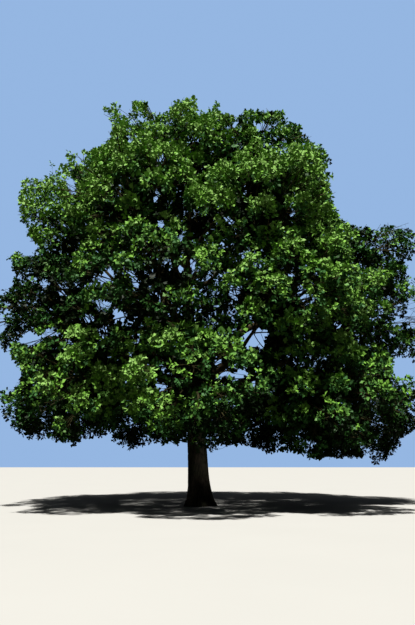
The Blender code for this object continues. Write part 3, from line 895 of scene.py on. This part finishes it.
def dealTints(tree, rng):
    # painted light and shade: brighter tints go to the lit side of each clump, darker ones below
    # and within and deeper in the crown, with some chance
    tone = rng.uniform(0, tones["sprayChance"], tree["sprayCount"])[tree["sprays"]]
    tone = tone + rng.uniform(0, tones["twigChance"], len(tone)) + tree["lifts"]
    tone = tone - tones["depthPaintedShade"] * np.clip(tree["depths"], 0, tones["deepest"])
    order = np.argsort(np.argsort(tone)) / len(tone)
    limits = np.cumsum([tint["share"] for tint in leafTints])
    return np.minimum(np.searchsorted(limits, order), len(leafTints) - 1)


# Materials

# the bark's colours are kept far darker than bark, as painted shade on the trunk; the cracks near
# black, painted shade in the cracks; the dry and algae patches are the bark's own; the paler limb
# colour high up is painted light
barkLook = dict(crack=(0.003, 0.0025, 0.002), crackSpan=(0.12, 0.85), ridge=(0.018, 0.014, 0.010),
                dry=(0.031, 0.025, 0.018), dryPatch=(0.16, 0.18),
                algae=(0.015, 0.016, 0.008), algaePatch=(0.7, 0.1),
                limb=(0.085, 0.066, 0.032), litLimbSpan=(4.2, 7.0),
                grainScale=60.0, grainDetail=4.0, bumpStrength=0.6, bumpDistance=0.006,
                roughPatch=(0.05, 0.25), rough=(0.82, 0.98), specular=0.15)
twigLook = dict(dark=(0.018, 0.016, 0.006), light=(0.040, 0.035, 0.013), patch=(0.2, 0.2),
                roughPatch=(0.06, 0.25), rough=(0.7, 0.9), specular=0.1)
leafLook = dict(shades=(0.82, 1.2), patch=(0.12, 0.2),
                roughPatch=(0.07, 0.25), rough=(0.4, 0.6), specular=0.08)


def newMaterial(name):
    material = bpy.data.materials.new(name)
    material.use_nodes = True
    return material, material.node_tree, material.node_tree.nodes["Principled BSDF"]


def node(tree, kind, **values):
    made = tree.nodes.new(kind)
    for key, value in values.items():
        setattr(made, key, value)
    return made


def mottleGroup():
    # a mask of soft patches, used by bark, twigs, leaves and floor
    group = bpy.data.node_groups.new("mottle", "ShaderNodeTree")
    for name, value in (("Patch Size", 0.1), ("Softness", 0.2)):
        socket = group.interface.new_socket(name, in_out="INPUT", socket_type="NodeSocketFloat")
        socket.default_value = value
    group.interface.new_socket("Mask", in_out="OUTPUT", socket_type="NodeSocketFloat")
    entry = node(group, "NodeGroupInput")
    leaving = node(group, "NodeGroupOutput")
    place = node(group, "ShaderNodeTexCoord")
    over = node(group, "ShaderNodeMath", operation="DIVIDE")
    over.inputs[0].default_value = 1.0
    patches = node(group, "ShaderNodeTexNoise")
    patches.inputs["Detail"].default_value = 3.0
    span = node(group, "ShaderNodeMapRange")
    link = group.links.new
    link(entry.outputs["Patch Size"], over.inputs[1])
    link(place.outputs["Object"], patches.inputs["Vector"])
    link(over.outputs[0], patches.inputs["Scale"])
    link(patches.outputs[0], span.inputs["Value"])
    for operation, end in (("SUBTRACT", "From Min"), ("ADD", "From Max")):
        edge = node(group, "ShaderNodeMath", operation=operation)
        edge.inputs[0].default_value = 0.5
        link(entry.outputs["Softness"], edge.inputs[1])
        link(edge.outputs[0], span.inputs[end])
    link(span.outputs["Result"], leaving.inputs["Mask"])
    return group


mottle = mottleGroup()


def addMottle(tree, patch):
    made = node(tree, "ShaderNodeGroup", node_tree=mottle)
    made.inputs["Patch Size"].default_value = patch[0]
    made.inputs["Softness"].default_value = patch[1]
    return made.outputs["Mask"]


def mixColours(tree, mask, first, second):
    mix = node(tree, "ShaderNodeMix", data_type="RGBA")
    tree.links.new(mask, mix.inputs["Factor"])
    for socket, colour in ((mix.inputs["A"], first), (mix.inputs["B"], second)):
        if isinstance(colour, tuple):
            socket.default_value = (*colour, 1.0)
        else:
            tree.links.new(colour, socket)
    return mix.outputs["Result"]


def spanValues(tree, mask, given=(0.0, 1.0), wanted=(0.0, 1.0), curve="LINEAR"):
    span = node(tree, "ShaderNodeMapRange", interpolation_type=curve)
    for name, value in zip(("From Min", "From Max", "To Min", "To Max"), (*given, *wanted)):
        span.inputs[name].default_value = value
    tree.links.new(mask, span.inputs["Value"])
    return span.outputs["Result"]


def finishShader(tree, shader, colour, look):
    tree.links.new(colour, shader.inputs["Base Color"])
    rough = spanValues(tree, addMottle(tree, look["roughPatch"]), wanted=look["rough"])
    tree.links.new(rough, shader.inputs["Roughness"])
    shader.inputs["Specular IOR Level"].default_value = look["specular"]


def barkMaterial():
    material, tree, shader = newMaterial("oakBark")
    look = barkLook
    ridge = node(tree, "ShaderNodeAttribute", attribute_name="ridge")
    place = node(tree, "ShaderNodeTexCoord")
    split = node(tree, "ShaderNodeSeparateXYZ")
    tree.links.new(place.outputs["Object"], split.inputs[0])
    # the bark's own dry and algae patches, on colours darkened as painted shade
    colour = mixColours(tree, addMottle(tree, look["dryPatch"]), look["ridge"], look["dry"])
    colour = mixColours(tree, addMottle(tree, look["algaePatch"]), colour, look["algae"])
    # painted light: limbs up in the crown are paler and browner than the trunk, which stays dark as
    # painted shade
    height = spanValues(tree, split.outputs["Z"], look["litLimbSpan"])
    colour = mixColours(tree, height, colour, look["limb"])
    # painted shade in the cracks: near black where the ridge is low
    ridged = spanValues(tree, ridge.outputs["Fac"], look["crackSpan"], curve="SMOOTHSTEP")
    finishShader(tree, shader, mixColours(tree, ridged, look["crack"], colour), look)
    grain = node(tree, "ShaderNodeTexNoise")
    grain.inputs["Scale"].default_value = look["grainScale"]
    grain.inputs["Detail"].default_value = look["grainDetail"]
    tree.links.new(place.outputs["Object"], grain.inputs["Vector"])
    bump = node(tree, "ShaderNodeBump")
    bump.inputs["Strength"].default_value = look["bumpStrength"]
    bump.inputs["Distance"].default_value = look["bumpDistance"]
    tree.links.new(grain.outputs[0], bump.inputs["Height"])
    tree.links.new(bump.outputs["Normal"], shader.inputs["Normal"])
    return material


def patchyMaterial(name, dark, light, look):
    material, tree, shader = newMaterial(name)
    colour = mixColours(tree, addMottle(tree, look["patch"]), dark, light)
    finishShader(tree, shader, colour, look)
    return material


def leafMaterial(tint):
    dark, light = (tuple(part * shade for part in tint["colour"]) for shade in leafLook["shades"])
    return patchyMaterial("oakLeaves" + tint["name"].capitalize(), dark, light, leafLook)


# Making the pieces

def foliagePiece(name, mesh, material):
    piece = finishPiece(name, mesh, material)
    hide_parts(*foliageNodes)


def addWood(tree):
    wood = patchyMaterial("oakTwigs", twigLook["dark"], twigLook["light"], twigLook)
    for name, kind in (("branch_wood", "branch"), ("shoot_wood", "shoot")):
        mesh = tubesAlong(name, tree[kind + "Lines"], foliage[kind + "Radius"],
                          foliage[kind + "Tip"], foliage[kind + "Sides"])
        mesh.shade_smooth()
        foliagePiece(name, mesh, wood)
    mesh = twigsAlong("twig_wood", tree["starts"], tree["ends"], foliage["twigRadius"])
    foliagePiece("twig_wood", mesh, wood)
    print("branches", len(tree["branchLines"]), "shoots", len(tree["shootLines"]),
          "twigs", len(tree["ends"]))


def addLeaves(tree, rng):
    leaves = spreadLeaves(tree, rng)
    tintOf = dealTints(tree, rng)
    each = leafShape["inRosette"] + leafShape["onTwig"]
    isDeep = tree["depths"] > leafShape["innerDepth"]
    skipped = np.where(isDeep, each - leafShape["innerCount"], 0)
    present = (np.arange(each) - 1) % each >= skipped[:, None]
    corners, faces = leafTemplate()
    for at, tint in enumerate(leafTints):
        material = leafMaterial(tint)
        chosen = present & (tintOf == at)[:, None]
        pieces = math.ceil(chosen.sum() * len(faces) / mostFaces)
        for number in range(pieces):
            name = f"leaves_{tint['name']}_{number + 1}"
            points = leafPoints(*(part[chosen][number::pieces] for part in leaves), corners)
            foliagePiece(name, joinedMesh(name, points, faces), material)
    print("leaves", present.sum(), "faces", present.sum() * len(faces))


oakBark = barkMaterial()
addTrunk(oakBark)
addLimbs(oakBark)
print("trunk and boughs made")

rng = np.random.default_rng(crown["seed"])
oak = growTree(rng)
addWood(oak)
addLeaves(oak, rng)


# Floor and light

studio = dict(floorSize=400.0, floorColour=(0.31, 0.31, 0.30), floorLighter=1.03,
              floorPatch=(3.0, 0.3), floorRoughness=0.9, floorBounce=(0.06, 0.07, 0.04),
              fill=(0.80, 0.88, 1.0), fillStrength=0.05, backdrop=(0.30, 0.47, 0.76),
              sunStrength=10.0, sunAngle=2.5, sunHeight=63.0, sunSide=-9.0,
              sunColour=(1.0, 0.97, 0.91))


def addFloor():
    bm = bmesh.new()
    bmesh.ops.create_grid(bm, x_segments=1, y_segments=1, size=studio["floorSize"])
    mesh = meshOf("floor", bm)
    floor = addObject("floor", mesh)
    material, tree, shader = newMaterial("paleFloor")
    plain = studio["floorColour"]
    lighter = tuple(part * studio["floorLighter"] for part in plain)
    colour = mixColours(tree, addMottle(tree, studio["floorPatch"]), plain, lighter)
    # the floor throws back less light than it shows, so the crown stays dark below
    seen = node(tree, "ShaderNodeLightPath")
    colour = mixColours(tree, seen.outputs["Is Camera Ray"], studio["floorBounce"], colour)
    tree.links.new(colour, shader.inputs["Base Color"])
    shader.inputs["Roughness"].default_value = studio["floorRoughness"]
    mesh.materials.append(material)


def addLight():
    # the backdrop that the camera sees is brighter than the soft light it gives
    world = bpy.data.worlds.new("paleStudio")
    world.use_nodes = True
    tree = world.node_tree
    fill = tree.nodes["Background"]
    fill.inputs["Color"].default_value = (*studio["fill"], 1.0)
    fill.inputs["Strength"].default_value = studio["fillStrength"]
    backdrop = node(tree, "ShaderNodeBackground")
    backdrop.inputs["Color"].default_value = (*studio["backdrop"], 1.0)
    seen = node(tree, "ShaderNodeLightPath")
    either = node(tree, "ShaderNodeMixShader")
    sources = (seen.outputs["Is Camera Ray"], fill.outputs[0], backdrop.outputs[0])
    for source, socket in zip(sources, either.inputs):
        tree.links.new(source, socket)
    tree.links.new(either.outputs[0], tree.nodes["World Output"].inputs["Surface"])
    bpy.context.scene.world = world
    bpy.context.scene.view_settings.view_transform = "Standard"
    data = bpy.data.lights.new("softSun", "SUN")
    data.energy = studio["sunStrength"]
    data.angle = math.radians(studio["sunAngle"])
    data.color = studio["sunColour"]
    sun = addObject("softSun", data)
    sun.rotation_euler = (math.radians(90.0 - studio["sunHeight"]), 0.0,
                          math.radians(studio["sunSide"]))


addFloor()
addLight()
print("floor and light set")
